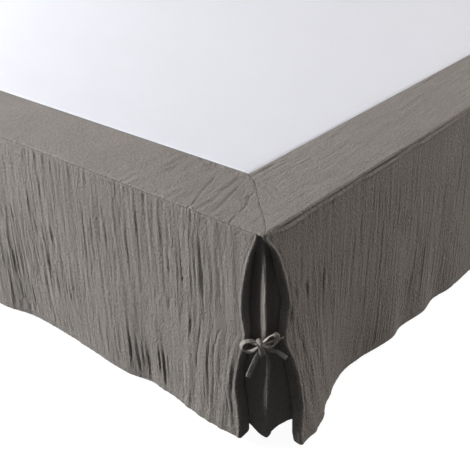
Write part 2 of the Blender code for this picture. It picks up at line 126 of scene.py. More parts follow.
# Small creases of the drops: height (a groove is negative), half width, and the line as (along, fall)
CreaseRow = namedtuple("CreaseRow", "height half_width line")
SIDE_CREASES = (
    CreaseRow(-0.0013, 0.0020, ((0.1526, 0.205), (0.1614, 0.262), (0.1550, 0.287))),
    CreaseRow(-0.0015, 0.0021, ((0.1307, 0.200), (0.1447, 0.291), (0.1338, 0.321))),
    CreaseRow(-0.0015, 0.0022, ((0.1111, 0.215), (0.1185, 0.283), (0.1157, 0.377))),
    CreaseRow(-0.0016, 0.0022, ((0.0908, 0.202), (0.1052, 0.251), (0.1043, 0.302), (0.1073, 0.357))),
    CreaseRow(-0.0013, 0.0022, ((0.0684, 0.230), (0.0786, 0.304), (0.0699, 0.361))),
    CreaseRow(-0.0008, 0.0020, ((0.1158, 0.142), (0.0792, 0.165))),
    CreaseRow(-0.0008, 0.0020, ((0.1121, 0.160), (0.0870, 0.138))),
    CreaseRow(-0.0010, 0.0016, ((0.0808, 0.311), (0.0605, 0.304))),
    CreaseRow(-0.0024, 0.0026, ((0.0560, 0.197), (0.0380, 0.190))),
    CreaseRow(-0.0006, 0.0022, ((0.2503, 0.257), (0.2413, 0.317), (0.2384, 0.361))),
    CreaseRow(0.0016, 0.0070, ((0.0483, 0.198), (0.0681, 0.266), (0.0747, 0.308), (0.0628, 0.391))),
    CreaseRow(0.0010, 0.0090, ((0.1557, 0.016), (0.1369, 0.139))),
    CreaseRow(-0.0009, 0.0016, ((0.0150, 0.004), (0.0330, 0.045), (0.0470, 0.100), (0.0500, 0.150), (0.0440, 0.186))),
    CreaseRow(-0.0008, 0.0018, ((0.0560, 0.225), (0.0640, 0.262), (0.0680, 0.320), (0.0590, 0.380))),
)
FOOT_CREASES = (
    CreaseRow(-0.0024, 0.0028, ((0.0300, 0.191), (0.0575, 0.170))),
    CreaseRow(-0.0010, 0.0022, ((0.0640, 0.225), (0.0820, 0.300), (0.0860, 0.370))),
    CreaseRow(-0.0009, 0.0022, ((0.0830, 0.220), (0.1060, 0.310))),
    CreaseRow(-0.0008, 0.0022, ((0.1120, 0.240), (0.1500, 0.345))),
    CreaseRow(-0.0009, 0.0018, ((0.0120, 0.004), (0.0400, 0.045), (0.0600, 0.100), (0.0680, 0.150), (0.0560, 0.190))),
    CreaseRow(-0.0008, 0.0020, ((0.0540, 0.215), (0.0680, 0.255), (0.0740, 0.310), (0.0640, 0.375))),
)

# Creases of the band by the left corner, seen from above: x along the foot face and y along the side face
BAND_CREASES = (
    CreaseRow(-0.0008, 0.0014, ((0.0934, 0.2628), (0.0744, 0.2581))),
    CreaseRow(-0.0008, 0.0014, ((0.1210, 0.2510), (0.0697, 0.2376))),
    CreaseRow(
        -0.0012, 0.0014, ((0.1064, 0.1869), (0.0836, 0.1786), (0.0617, 0.1718), (0.0456, 0.1636), (0.0175, 0.1531)),
    ),
    CreaseRow(-0.0011, 0.0014, ((0.1257, 0.1542), (0.0929, 0.1460), (0.0669, 0.1450))),
    CreaseRow(-0.0012, 0.0014, ((0.1026, 0.1332), (0.0658, 0.1229), (0.0400, 0.1143), (0.0191, 0.1098))),
    CreaseRow(
        -0.0014, 0.0015, ((0.0843, 0.0941), (0.0506, 0.0781), (0.0295, 0.0738), (0.0097, 0.0693), (0.0028, 0.0653)),
    ),
    CreaseRow(-0.0009, 0.0014, ((0.0450, 0.1890), (0.0255, 0.1852), (0.0091, 0.1826))),
    CreaseRow(-0.0008, 0.0014, ((0.1007, 0.1161), (0.0777, 0.1073))),
    CreaseRow(-0.0008, 0.0014, ((0.0378, 0.0400), (0.0195, 0.0350))),
    CreaseRow(0.0006, 0.0022, ((0.1453, 0.1396), (0.1508, 0.1169), (0.1470, 0.0913))),
    CreaseRow(-0.0006, 0.0018, ((0.1400, 0.1330), (0.1440, 0.1070), (0.1350, 0.0800))),
    CreaseRow(0.0006, 0.0022, ((0.1332, 0.1215), (0.1335, 0.0970), (0.1224, 0.0703))),
    CreaseRow(-0.0006, 0.0018, ((0.1265, 0.1160), (0.1250, 0.0920), (0.1110, 0.0660))),
    CreaseRow(0.0005, 0.0022, ((0.1190, 0.1100), (0.1146, 0.0862), (0.1012, 0.0637))),
)

# The mitre seam bows sideways: half of x minus y, at places along the diagonal
MITRE_PLACES = (0.0, 0.0109, 0.0261, 0.0452, 0.0712, 0.0907, 0.1108, 0.1289, 0.1400, 0.1500)
MITRE_BOW = (0.0, 0.0029, 0.0050, 0.0051, 0.0038, 0.0041, 0.0043, 0.0042, 0.0012, 0.0)

# Course of the strip behind the split, seen from above, at the top edge, in the open split, above the tie, at
# the tie, below it and at the hem: x along the foot face and y along the side face, both from the corner
StripRow = namedtuple("StripRow", "top split above tie below hem")
STRIP_ROWS = (
    StripRow(
        (0.0105, 0.0600), (0.0235, 0.0740), (0.0228, 0.0740), (0.0225, 0.0740), (0.0250, 0.0745), (0.0340, 0.0800),
    ),
    StripRow(
        (0.0105, 0.0330), (0.0265, 0.0460), (0.0250, 0.0445), (0.0240, 0.0440), (0.0245, 0.0450), (0.0255, 0.0480),
    ),
    StripRow(
        (0.0105, 0.0190), (0.0122, 0.0152), (0.0132, 0.0165), (0.0180, 0.0300), (0.0222, 0.0245), (0.0190, 0.0290),
    ),
    StripRow(
        (0.0110, 0.0115), (0.0099, 0.0057), (0.0105, 0.0063), (0.0140, 0.0165), (0.0200, 0.0085), (0.0186, 0.0112),
    ),
    StripRow(
        (0.0200, 0.0110), (0.0240, 0.0163), (0.0240, 0.0163), (0.0280, 0.0165), (0.0345, 0.0150), (0.0385, 0.0150),
    ),
    StripRow(
        (0.0330, 0.0105), (0.0540, 0.0255), (0.0510, 0.0245), (0.0490, 0.0240), (0.0520, 0.0215), (0.0620, 0.0130),
    ),
    StripRow(
        (0.0520, 0.0100), (0.0700, 0.0195), (0.0690, 0.0195), (0.0680, 0.0195), (0.0720, 0.0160), (0.0840, 0.0060),
    ),
)
STRIP_FALLS = (0.0, 0.065, 0.180, 0.207, 0.240, DROP)

# The bow, in an upright plane across the corner: across the corner, inward behind that plane, above the hem
BowRow = namedtuple("BowRow", "across inward height")
KNOT = BowRow(-0.0045, 0.0100, 0.1990)
KNOT_HALF_SIZES = (0.0050, 0.0055, 0.0072)
KNOT_LEAN = 0.35 * 0.3
SIDE_LOOP = (
    BowRow(-0.0070, 0.0100, 0.2035), BowRow(-0.0150, 0.0075, 0.2090), BowRow(-0.0245, 0.0060, 0.2115),
    BowRow(-0.0330, 0.0065, 0.2085), BowRow(-0.0360, 0.0070, 0.2010), BowRow(-0.0320, 0.0070, 0.1940),
    BowRow(-0.0235, 0.0065, 0.1905), BowRow(-0.0150, 0.0080, 0.1930), BowRow(-0.0070, 0.0100, 0.1975),
)
FOOT_LOOP = (
    BowRow(-0.0020, 0.0100, 0.2035), BowRow(0.0040, 0.0070, 0.2120), BowRow(0.0105, 0.0050, 0.2190),
    BowRow(0.0170, 0.0045, 0.2210), BowRow(0.0200, 0.0050, 0.2140), BowRow(0.0180, 0.0055, 0.2045),
    BowRow(0.0120, 0.0060, 0.1975), BowRow(0.0060, 0.0075, 0.1962), BowRow(-0.0020, 0.0100, 0.1980),
)
SIDE_TAIL = (
    BowRow(-0.0065, 0.0083, 0.1919), BowRow(-0.0101, 0.0057, 0.1853), BowRow(-0.0150, 0.0040, 0.1740),
    BowRow(-0.0205, 0.0030, 0.1610), BowRow(-0.0266, 0.0025, 0.1458),
)
FOOT_TAIL = (
    BowRow(-0.0040, 0.0105, 0.1940), BowRow(0.0035, 0.0100, 0.1912), BowRow(0.0120, 0.0085, 0.1890),
    BowRow(0.0235, 0.0055, 0.1855), BowRow(0.0340, -0.0030, 0.1805),
)
WRAP = (
    BowRow(-0.0098, 0.0060, 0.2150), BowRow(-0.0072, 0.0012, 0.2075), BowRow(-0.0050, -0.0012, 0.1990),
    BowRow(-0.0045, -0.0004, 0.1915), BowRow(-0.0062, 0.0040, 0.1830),
)
LOOP_TILT = 0.12
LOOP_TURN = {"side": -0.5, "foot": 2.3}
LOOP_SPREAD = {"side": 0.0, "foot": 0.25}
TIE_FALL = 0.203
LEAD_CLEARANCE = 0.0014

# The cloth itself, and the spacing of its grid near the left corner and far from it
SHEET = 0.0011
HEM_SHEET = 0.0019
HEM_DEPTH = 0.015
HEM_LINE = DROP - HEM_DEPTH
# HEM_STITCH_FADE keeps the stitches and the painted shade along the hem's stitched line faint
HEM_STITCH_FADE = 0.0009
NEAR_REACH = 0.78
NEAR_STEP = 0.00178
FAR_STEP = 0.0105
OTHER_REACH = 0.12
RETURN_STEPS = 14
FOLD_STEPS = 6
COARSE_BLEND = 0.05
CLOSE_REACH = 0.30
CLOSE_STEP = 0.0011

# Heights of the gauze's crinkles, from broad to fine, and how strong they are on each piece
BROAD_HEIGHT = 0.00028
MIDDLE_HEIGHT = 0.00052
FINE_HEIGHT = 0.00056
GROOVE_DEPTH = 0.00080
SIDE_STRENGTH = 1.40
FOOT_STRENGTH = 1.05
FOOT_CORNER_STRENGTH = 0.50
UNDERLAY_STRENGTH = 0.5
BAND_BROAD_SHARE = 0.40
BAND_COARSE_SHARE = 0.6
CALM_PLACE = 0.055
CALM_REACH = 0.055
CALM_FALL = 0.21
CALM_SHARE = 0.45

# The top edge of a drop is tucked under the band, and on the foot side its cloth rolls up below the seam
TOP_TUCK = 0.0032
TOP_TUCK_REACH = 0.0026
SEAM_ROLL = 0.0042
SEAM_ROLL_FALL = 0.0088
SEAM_ROLL_REACH = 0.0026
# How far below a drop's top seam the painted seam shade reaches, and how much further where the cloth rolls
SEAM_SHADE = 0.0019
SEAM_SHADE_ROLLED = 0.0032
FOLD_RIM = 0.0012
FOLD_RIM_REACH = 0.0020
SEAM_PUCKER = 0.00045
HEM_PUCKER = 0.00040
STITCH_GROOVE = 0.00015

# The band lies on the base, rolls down to the drops and dips at its other seams
BAND_HEIGHT = 0.4112
BAND_ROLL = 0.0038
BAND_ROLL_DEPTH = 0.0030
BAND_FOOT_AREA = 0.15 * 1.45
BAND_SIDE_AREA = 0.15 * 1.925
SEAM_DIP = 0.0008
SEAM_REACH = 0.0022
# SEAM_LINE_FADE makes the painted seam shade a little weaker along the band's outer edge
SEAM_LINE_FADE = 0.0001
MITRE_PUCKER = 0.00045
BAND_EDGE_PUCKER = 0.00050
DECK_HEIGHT = 0.4111

# The ties: flat sewn tubes
TAPE_HALF_WIDTH = 0.0043
TAPE_HALF_THICKNESS = 0.0010
TAIL_HALF_WIDTH = {"side": 0.0041, "foot": 0.0034}

# The camera, found from the seams, the mitre and the hem in the photograph
CAMERA_PLACE = (-1.69065, -1.68928, 1.05065)
CAMERA_RIGHT = (0.64281, -0.76570, -0.02243)
CAMERA_UP = (0.38585, 0.29835, 0.87299)
CAMERA_FOCAL_PIXELS = 906
PICTURE_PIXELS = 470
SENSOR = 36.0

# The pale room as the camera sees it; its light comes from the lamps
ROOM = 0.80
FLOOR_REACH = 40.0
FLOOR_GLOW = 0.95
LampRow = namedtuple("LampRow", "name place towards size power colour")
LAMPS = (
    LampRow("key", (-2.3, 2.4, 1.45), (-0.7, -0.5, 0.3), 1.0, 308.0, (1.0, 1.0, 1.0)),
    LampRow("fill", (2.9, -2.7, 1.4), (0.0, -1.0, 0.25), 1.0, 133.0, (1.0, 0.94, 0.88)),
    LampRow("front", (-3.0, -2.7, 1.4), (-0.8, -1.0, 0.2), 2.0, 9.0, (1.0, 1.0, 1.0)),
    LampRow("ceiling", (0.0, 0.0, 6.0), (0.0, 0.0, 0.0), 9.0, 208.0, (1.0, 1.0, 1.0)),
)

# Colours of the pieces, and the height of the bump that takes over from the crinkles where the grid is coarse
TAUPE = (0.222, 0.202, 0.1855)
# The ties' taupe is a lighter copy of the drops' taupe: painted light on the bow
LIT_TIE_TAUPE = (0.285, 0.262, 0.242)
WHITE = (0.635, 0.645, 0.695)
TICKING = (0.560, 0.540, 0.505)
FOOT_WOOD = (0.180, 0.110, 0.065)
COARSE_BUMP = 3.2
BUMP_DISTANCE = 0.0016
# How fast the stitches, a bump groove and the painted seam shade fade away from a seam
STITCH_LINE_SLOPE = 850.0
STITCHES_PER_METRE = 360.0
STITCH_GAP = 0.38


def smooth(low, high, value):
    """0 below low, 1 above high, and an S between them."""
    t = np.clip((value - low) / (high - low), 0.0, 1.0)
    return t * t * (3.0 - 2.0 * t)


def spline(keys, values, at):
    """A smooth curve through the values at the keys, level at both ends. values may be rows of numbers."""
    keys, values, at = (np.asarray(x, float) for x in (keys, values, at))
    slopes = np.zeros_like(values)
    spans = keys[2:] - keys[:-2]
    slopes[1:-1] = (values[2:] - values[:-2]) / spans.reshape(-1, *[1] * (values.ndim - 1))
    at = np.clip(at, keys[0], keys[-1])
    i = np.clip(np.searchsorted(keys, at, side="right") - 1, 0, len(keys) - 2)
    span = keys[i + 1] - keys[i]
    t = (at - keys[i]) / span
    if values.ndim > 1:
        span, t = span[..., None], t[..., None]
    return (
        values[i] * (2 * t**3 - 3 * t**2 + 1)
        + values[i + 1] * (3 * t**2 - 2 * t**3)
        + slopes[i] * span * (t**3 - 2 * t**2 + t)
        + slopes[i + 1] * span * (t**3 - t**2)
    )


def curve_through(points, count):
    """count points spaced evenly along a smooth curve through the given ones."""
    points = np.array(points, float)
    keys = np.concatenate([[0.0], np.cumsum(np.linalg.norm(np.diff(points, axis=0), axis=1))])
    return spline(keys, points, np.linspace(0.0, keys[-1], count))


LATTICE = np.random.default_rng(41).random((256, 256))


def noise(x, y, seed):
    """Smooth noise from -1 to 1 with one lump to each unit square."""
    x, y = x + 17.31 * seed, y + 53.17 * seed
    i, j = np.floor(x).astype(int), np.floor(y).astype(int)
    u, v = x - i, y - j
    u, v = (t * t * t * (t * (t * 6 - 15) + 10) for t in (u, v))
    i, j, k, m = i % 256, j % 256, (i + 1) % 256, (j + 1) % 256
    low = LATTICE[i, j] * (1 - u) + LATTICE[k, j] * u
    high = LATTICE[i, m] * (1 - u) + LATTICE[k, m] * u
    return 2.0 * (low * (1 - v) + high * v) - 1.0


def crinkles(u, v, seed, broad_share=1.0):
    """The height of the gauze's crinkles, which run along v, in metres."""
    u = u + 0.0018 * noise(u / 0.070, v / 0.130, seed + 1) + 0.0004 * noise(u / 0.02, v / 0.045, seed + 2)
    broad = noise(u / 0.0120, v / 0.200, seed + 3)
    middle = noise(u / 0.0056, v / 0.130, seed + 4)
    fine = noise(u / 0.0036, v / 0.055, seed + 8)
    groove = (1.0 - np.abs(noise(u / 0.0100, v / 0.180, seed + 5))) ** 12
    groove += 0.8 * (1.0 - np.abs(noise(u / 0.0120, v / 0.090, seed + 6))) ** 14
    patch = 0.85 + 0.50 * noise(u / 0.09, v / 0.08, seed + 7)
    wide = broad_share * (BROAD_HEIGHT * broad + MIDDLE_HEIGHT * middle)
    return patch * (wide + FINE_HEIGHT * fine - GROOVE_DEPTH * groove)


def crease_out(rows, along, fall):
    """Small creases of the cloth: how far each stands out, by the distance from its own line of points."""
    total = 0.0
    for row in rows:
        nearest = np.full(np.shape(along), np.inf)
        for (u0, v0), (u1, v1) in zip(row.line, row.line[1:]):
            du, dv = u1 - u0, v1 - v0
            t = np.clip(((along - u0) * du + (fall - v0) * dv) / (du * du + dv * dv), 0.0, 1.0)
            nearest = np.minimum(nearest, np.hypot(along - u0 - t * du, fall - v0 - t * dv))
        total = total + row.height * np.exp(-((nearest / row.half_width) ** 2))
    return total


def in_world(side, x, y, z):
    """Places given from a foot corner: x along the foot face and y along the side face, both inward."""
    x, y, z = np.broadcast_arrays(x, y, z)
    return np.stack([SIDES[side] * (BED_WIDTH / 2 - x), y - BED_LENGTH / 2 + BED_SHIFT, z], axis=-1)


def height_at(fall):
    return BASE_TOP - (BASE_TOP - HEM_CLEARANCE) * fall / DROP


def edge_value(column, fall):
    return spline([r.fall for r in EDGE_ROWS], [getattr(r, column) for r in EDGE_ROWS], fall)


def hem_out(face, along, phase):
    rows = SIDE_HEM if face == "side" else FOOT_HEM
    near = spline([r.along for r in rows], [r.out for r in rows], along)
    waves = sum(w.height * np.sin(2 * math.pi * along / w.length + w.phase + phase) for w in HEM_WAVES)
    far = smooth(WAVE_START, WAVE_START + WAVE_BLEND, along)
    return near * (1.0 - far) + waves * far


def fold_out(face, along, fall):
    total = 0.0
    for row in SIDE_FOLDS if face == "side" else FOOT_FOLDS:
        t = (fall - row.fall_a) / (row.fall_b - row.fall_a)
        centre = row.along_a + (row.along_b - row.along_a) * t
        ends = smooth(0.0, FOLD_FADE, t) * (1.0 - smooth(1.0 - FOLD_FADE, 1.0, t) * (row.fall_b < DROP))
        total = total + row.height * ends * np.exp(-(((along - centre) / row.half_width) ** 2))
    return total


def face_out(face, along, fall, phase):
    """How far a drop's outer face stands out from the corner's upright plane."""
    near = np.exp(-((along / GROWTH_REACH) ** 2))
    growth = (fall / DROP) ** (FACE_GROWTH + (CORNER_GROWTH - FACE_GROWTH) * near)
    return hem_out(face, along, phase) * growth + fold_out(face, along, fall)


def split_edge(face, fall, phase):
    """The folded end of a drop at one height, as (along, out) from the hidden end to the face."""
    depth = float(edge_value(face + "_depth", fall))
    start = float(edge_value(face + "_edge", fall)) + FOLD_RADIUS
    out = float(face_out(face, start, fall, phase)) - CLOTH / 2
    is_open = float(smooth(2.0 * FOLD_RADIUS, OPEN_DEPTH, depth))
    legs = (
        (start + TUCK_LENGTH, out - depth + TUCK_RISE * is_open),
        (start + TUCK_LENGTH * (1.0 - 0.35 * is_open), out - depth + 0.35 * TUCK_RISE * is_open),
        (start + TUCK_LENGTH * (1.0 - 0.75 * is_open), out - depth),
        (start + FOLD_RADIUS * (1.0 - 1.3 * is_open), out - depth * (1.0 - 0.22 * is_open)),
        (start - FOLD_RADIUS * is_open, out - FOLD_RADIUS * (2.0 - 0.6 * is_open)),
    )
    path = curve_through(legs, RETURN_STEPS + 1)
    first = math.pi * (1.5 - 0.42 * is_open)
    angles = np.linspace(first, math.pi / 2, FOLD_STEPS + 1)[1:]
    arc = np.stack([start + FOLD_RADIUS * np.cos(angles), out - FOLD_RADIUS + FOLD_RADIUS * np.sin(angles)], -1)
    return np.concatenate([path, arc])


def add_object(name, data, material):
    piece = bpy.data.objects.new(name, data)
    bpy.context.scene.collection.objects.link(piece)
    data.materials.append(material)
    return piece


def add_uv(mesh, name, values):
    layer = mesh.uv_layers.new(name=name)
    corner = np.zeros(len(mesh.loops), int)
    mesh.loops.foreach_get("vertex_index", corner)
    layer.data.foreach_set("uv", np.asarray(values, np.float32)[corner].ravel())


def normals_of(middle):
    across, down = np.gradient(middle, axis=0), np.gradient(middle, axis=1)
    normal = np.cross(across, down)
    return normal / np.maximum(np.linalg.norm(normal, axis=-1, keepdims=True), 1e-12)


def sheet(name, middle, lift, thickness, cloth_uv, stitch_and_seam_shade_uv, coarse, material, outward):
    """A closed sheet around a grid of middle points. lift moves it along its normal, which points outward.

    cloth_uv is each point's place on the flat cloth, and stitch_and_seam_shade_uv is its distance from a line of
    stitches, where painted seam shade lies, and its place along that line, all in metres. coarse is 1 where the grid
    is too wide for the crinkles, so that they are bump there, and 0 elsewhere.
    """
    wide, tall = middle.shape[:2]
    normal = normals_of(middle)
    if (normal.reshape(-1, 3) @ np.array(outward)).mean() < 0:
        normal = -normal
    half = normal * (np.broadcast_to(thickness, (wide, tall)) / 2)[..., None]
    centre = middle + normal * lift[..., None]
    points = np.concatenate([(centre + half).reshape(-1, 3), (centre - half).reshape(-1, 3)])
    index = np.arange(wide * tall).reshape(wide, tall)
    front = np.stack([index[:-1, :-1], index[1:, :-1], index[1:, 1:], index[:-1, 1:]], -1).reshape(-1, 4)
    rim = np.concatenate([index[0, :-1], index[:-1, -1], index[-1, :0:-1], index[:0:-1, 0]])
    following = np.roll(rim, -1)
    edge = np.stack([rim, rim + wide * tall, following + wide * tall, following], -1)
    faces = np.concatenate([front, front[:, ::-1] + wide * tall, edge])
    a, b, c = (points[faces[:, n]] for n in (0, 1, 2))
    d = points[faces[:, 3]]
    volume = (np.cross(a, b) * c).sum() + (np.cross(a, c) * d).sum()
    if volume < 0:
        faces = faces[:, ::-1]
    mesh = bpy.data.meshes.new(name)
    mesh.from_pydata(points.tolist(), [], faces.tolist())
    mesh.update()
    coarse = np.broadcast_to(coarse, (wide, tall))
    coarse_uv = np.stack([coarse, 0.0 * coarse], -1)
    for layer, values in (("cloth", cloth_uv), ("stitch_and_seam_shade", stitch_and_seam_shade_uv), ("coarse", coarse_uv)):
        flat = np.asarray(values).reshape(-1, 2)
        add_uv(mesh, layer, np.concatenate([flat, flat]))
    mesh.shade_smooth()
    mesh.set_sharp_from_angle(angle=math.radians(60))
    return add_object(name, mesh, material)


def make_node(tree, kind, inputs=(), **settings):
    """Adds a shader node. Each input is given by name or number, as a value or as a socket to link."""
    result = tree.nodes.new(kind)
    for key, value in settings.items():
        setattr(result, key, value)
    for key, value in dict(inputs).items():
        if isinstance(value, bpy.types.NodeSocket):
            tree.links.new(value, result.inputs[key])
        else:
            result.inputs[key].default_value = value
    return result


def math_node(tree, operation, *values):
    return make_node(tree, "ShaderNodeMath", dict(enumerate(values)), operation=operation).outputs[0]


def scaled_noise(tree, vector, scale, detail=2.0, roughness=0.5):
    """Noise from 0 to 1 over a place in metres, with scale lumps to the metre along each axis."""
    place = make_node(tree, "ShaderNodeMapping", {"Vector": vector, "Scale": (*scale, 1.0)})
    found = make_node(
        tree, "ShaderNodeTexNoise",
        {"Vector": place.outputs[0], "Scale": 1.0, "Detail": detail, "Roughness": roughness},
        noise_dimensions="2D",
    )
    return found.outputs[0]


def new_material(name, roughness):
    material = bpy.data.materials.new(name)
    material.use_nodes = True
    shader = material.node_tree.nodes["Principled BSDF"]
    shader.inputs["Roughness"].default_value = roughness
    return material, material.node_tree, shader


def shaded(tree, colour, *factors):
    """A colour made lighter or darker by each factor in turn."""
    total = factors[0]
    for factor in factors[1:]:
        total = math_node(tree, "MULTIPLY", total, factor)
    return make_node(
        tree, "ShaderNodeVectorMath", {0: colour[:3], "Scale": total}, operation="SCALE"
    ).outputs[0]


def around_one(tree, value, share):
    """Turns noise from 0 to 1 into a factor from 1 - share to 1 + share."""
    return math_node(tree, "MULTIPLY_ADD", value, 2.0 * share, 1.0 - share)


def cloth_material(name, colour, roughness, sheen, crinkle_bump, thread, variation):
    """Woven cloth by its flat place in metres: threads, slubs, fine crinkles and stitched lines, with painted seam
    shade and painted shade and light on the fine crinkles.
    """
    material, tree, shader = new_material(name, roughness)
    shader.inputs["Sheen Weight"].default_value = sheen
    shader.inputs["Sheen Roughness"].default_value = 0.6
    shader.inputs["Specular IOR Level"].default_value = 0.15
    cloth = make_node(tree, "ShaderNodeUVMap", uv_map="cloth").outputs[0]
    stitch_and_seam_shade = make_node(tree, "ShaderNodeUVMap", uv_map="stitch_and_seam_shade").outputs[0]

    waves = [
        make_node(
            tree, "ShaderNodeTexWave",
            {"Vector": cloth, "Scale": 0.314 / thread, "Distortion": 1.6, "Detail": 1.5, "Detail Scale": 0.6},
            bands_direction=direction,
        ).outputs["Fac"]
        for direction in ("X", "Y")
    ]
    weave = math_node(tree, "MAXIMUM", *waves)
    slubs = scaled_noise(tree, cloth, (480.0, 170.0), 3.0, 0.65)
    fine_crinkles = scaled_noise(tree, cloth, (260.0, 38.0), 3.0, 0.65)
    fleck = scaled_noise(tree, cloth, (650.0, 240.0), 2.0)
    cloudy = scaled_noise(tree, cloth, (9.0, 7.0), 2.0)

    parts = make_node(tree, "ShaderNodeSeparateXYZ", {0: stitch_and_seam_shade})
    away, along = parts.outputs[0], parts.outputs[1]
    # near_line is 1 on a seam and fades out within a millimetre or so; it drives the stitches, a bump groove and the
    # painted seam shade
    near_line = math_node(tree, "MINIMUM", math_node(tree, "MULTIPLY", away, STITCH_LINE_SLOPE), 1.0)
    near_line = math_node(tree, "SUBTRACT", 1.0, near_line)
    dash = math_node(tree, "FRACT", math_node(tree, "MULTIPLY", along, STITCHES_PER_METRE))
    stitched = math_node(tree, "MULTIPLY", near_line, math_node(tree, "GREATER_THAN", dash, STITCH_GAP))
    close = math_node(tree, "EXPONENT", math_node(tree, "MULTIPLY", away, -170.0))
    pucker = math_node(tree, "MULTIPLY", scaled_noise(tree, stitch_and_seam_shade, (60.0, 330.0), 1.0), close)
    coarse = make_node(tree, "ShaderNodeUVMap", uv_map="coarse").outputs[0]
    coarse = make_node(tree, "ShaderNodeSeparateXYZ", {0: coarse}).outputs[0]
    long_crinkles = math_node(tree, "MULTIPLY", scaled_noise(tree, cloth, (120.0, 7.0), 2.0, 0.6), coarse)

    height = math_node(tree, "MULTIPLY_ADD", fine_crinkles, crinkle_bump, math_node(tree, "MULTIPLY", weave, 0.06))
    height = math_node(tree, "MULTIPLY_ADD", slubs, 2.5 * crinkle_bump, height)
    height = math_node(tree, "MULTIPLY_ADD", pucker, 0.9, height)
    height = math_node(tree, "MULTIPLY_ADD", long_crinkles, COARSE_BUMP * crinkle_bump, height)
    height = math_node(tree, "MULTIPLY_ADD", near_line, -0.4, height)
    bump = make_node(tree, "ShaderNodeBump", {"Height": height, "Strength": 1.0, "Distance": BUMP_DISTANCE})
    tree.links.new(bump.outputs[0], shader.inputs["Normal"])

    # Painted shade: the colour darkens along the seams of the drops, bands and deck, and faintly along the hem, where
    # the real seams lie in shade; the darker dashes are the stitches
    stitches_and_painted_seam_shade = math_node(tree, "MULTIPLY_ADD", stitched, -0.25, 1.0)
    stitches_and_painted_seam_shade = math_node(tree, "MULTIPLY", stitches_and_painted_seam_shade, math_node(tree, "MULTIPLY_ADD", near_line, -0.60, 1.0))
    # Random cloudy tone, flecks and slubs, and the fine crinkles' own noise: painted shade in their valleys and
    # painted light on their ridges
    tint = shaded(
        tree, colour, around_one(tree, cloudy, 0.5 * variation), around_one(tree, fleck, variation),
        around_one(tree, slubs, 2.4 * variation), around_one(tree, fine_crinkles, 0.8 * variation), stitches_and_painted_seam_shade,
    )
    tree.links.new(tint, shader.inputs["Base Color"])
    return material


def wood_material(name, colour):
    material, tree, shader = new_material(name, 0.45)
    place = make_node(tree, "ShaderNodeTexCoord").outputs["Object"]
    stretched = make_node(tree, "ShaderNodeMapping", {"Vector": place, "Scale": (70.0, 70.0, 7.0)}).outputs[0]
    grain = make_node(
        tree, "ShaderNodeTexNoise", {"Vector": stretched, "Scale": 1.0, "Detail": 5.0, "Distortion": 0.8}
    ).outputs[0]
    tree.links.new(shaded(tree, colour, around_one(tree, grain, 0.45)), shader.inputs["Base Color"])
    bump = make_node(tree, "ShaderNodeBump", {"Height": grain, "Strength": 0.35, "Distance": 0.0005})
    tree.links.new(bump.outputs[0], shader.inputs["Normal"])
    return material


def ticking_material(name, colour):
    """The base's plain woven cover, by its place in the room."""
    material, tree, shader = new_material(name, 0.9)
    place = make_node(tree, "ShaderNodeTexCoord").outputs["Object"]
    threads = make_node(
        tree, "ShaderNodeTexNoise", {"Vector": place, "Scale": 900.0, "Detail": 2.0}
    ).outputs[0]
    soft = make_node(tree, "ShaderNodeTexNoise", {"Vector": place, "Scale": 9.0, "Detail": 2.0}).outputs[0]
    tint = shaded(tree, colour, around_one(tree, threads, 0.10), around_one(tree, soft, 0.05))
    tree.links.new(tint, shader.inputs["Base Color"])
    bump = make_node(tree, "ShaderNodeBump", {"Height": threads, "Strength": 0.5, "Distance": 0.0005})
    tree.links.new(bump.outputs[0], shader.inputs["Normal"])
    return material


gauze = cloth_material(
    "taupe_gauze", TAUPE, roughness=0.92, sheen=0.10, crinkle_bump=0.95, thread=0.0011, variation=0.20,
)
# The ties' gauze is the drops' cloth made lighter: painted light on the bow
lit_tie_gauze = cloth_material(
    "lit_tie_gauze", LIT_TIE_TAUPE, roughness=0.92, sheen=0.10, crinkle_bump=0.60, thread=0.0011, variation=0.12,
)
cotton = cloth_material(
    "white_cotton", WHITE, roughness=0.90, sheen=0.05, crinkle_bump=0.12, thread=0.0007, variation=0.015,
)
ticking = ticking_material("base_fabric", TICKING)
wood = wood_material("foot_wood", FOOT_WOOD)


def declare(piece, node, slot, **cloth):
    """Fixes a finished piece to the bed in the place of its solid."""
    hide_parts(node)
    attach(piece, "root")


def hanging_falls():
    """The heights of a drop's rows: close at the seam and at the hem's stitches."""
    return np.concatenate([
        [0.0, 0.0010, 0.0022, 0.0036, 0.0052, 0.0070, 0.0090, 0.0112, 0.0138, 0.0170],
        np.linspace(0.0215, HEM_LINE - 0.004, 58),
        HEM_LINE + np.array([-0.0012, 0.0, 0.0012, 0.0045, 0.0085, 0.0120, 0.0140, 0.0150]),
    ])


def hem_share(fall):
    """1 on the doubled cloth of a hem and 0 above it."""
    return smooth(HEM_LINE - 0.001, HEM_LINE + 0.001, fall)


def stitch_and_seam_shade_lines(fall, along, rolled=0.0):
    """Distance from the nearer stitched line of a drop, at its top edge or its hem, and the place along.
    Below the top edge it stays 0 for a few millimetres, more where the cloth rolls, so the painted seam shade is
    wider there.
    """
    seam = np.maximum(fall - SEAM_SHADE - SEAM_SHADE_ROLLED * rolled, 0.0)
    away = np.minimum(seam, np.abs(fall - HEM_LINE) + HEM_STITCH_FADE)
    return np.stack([away, along], -1)


def stations(near_end, far_end):
    """Distances along a face, close together as far as near_end."""
    near = np.arange(NEAR_STEP, near_end, NEAR_STEP)
    far = np.arange(near[-1] + FAR_STEP / 2, far_end - FAR_STEP / 2, FAR_STEP)
    return np.concatenate([near, far, [far_end]])


def rolled_share(face, along, on_edge, seed):
    """How strongly the cloth rolls up below the seam: unevenly, and only on the foot side near the corner."""
    share = smooth(0.02, 0.07, along) * smooth(0.66, 0.40, along) * (face == "foot") * on_edge
    return share * (0.76 + 0.60 * noise(along / 0.034, 0.0 * along, seed + 24))


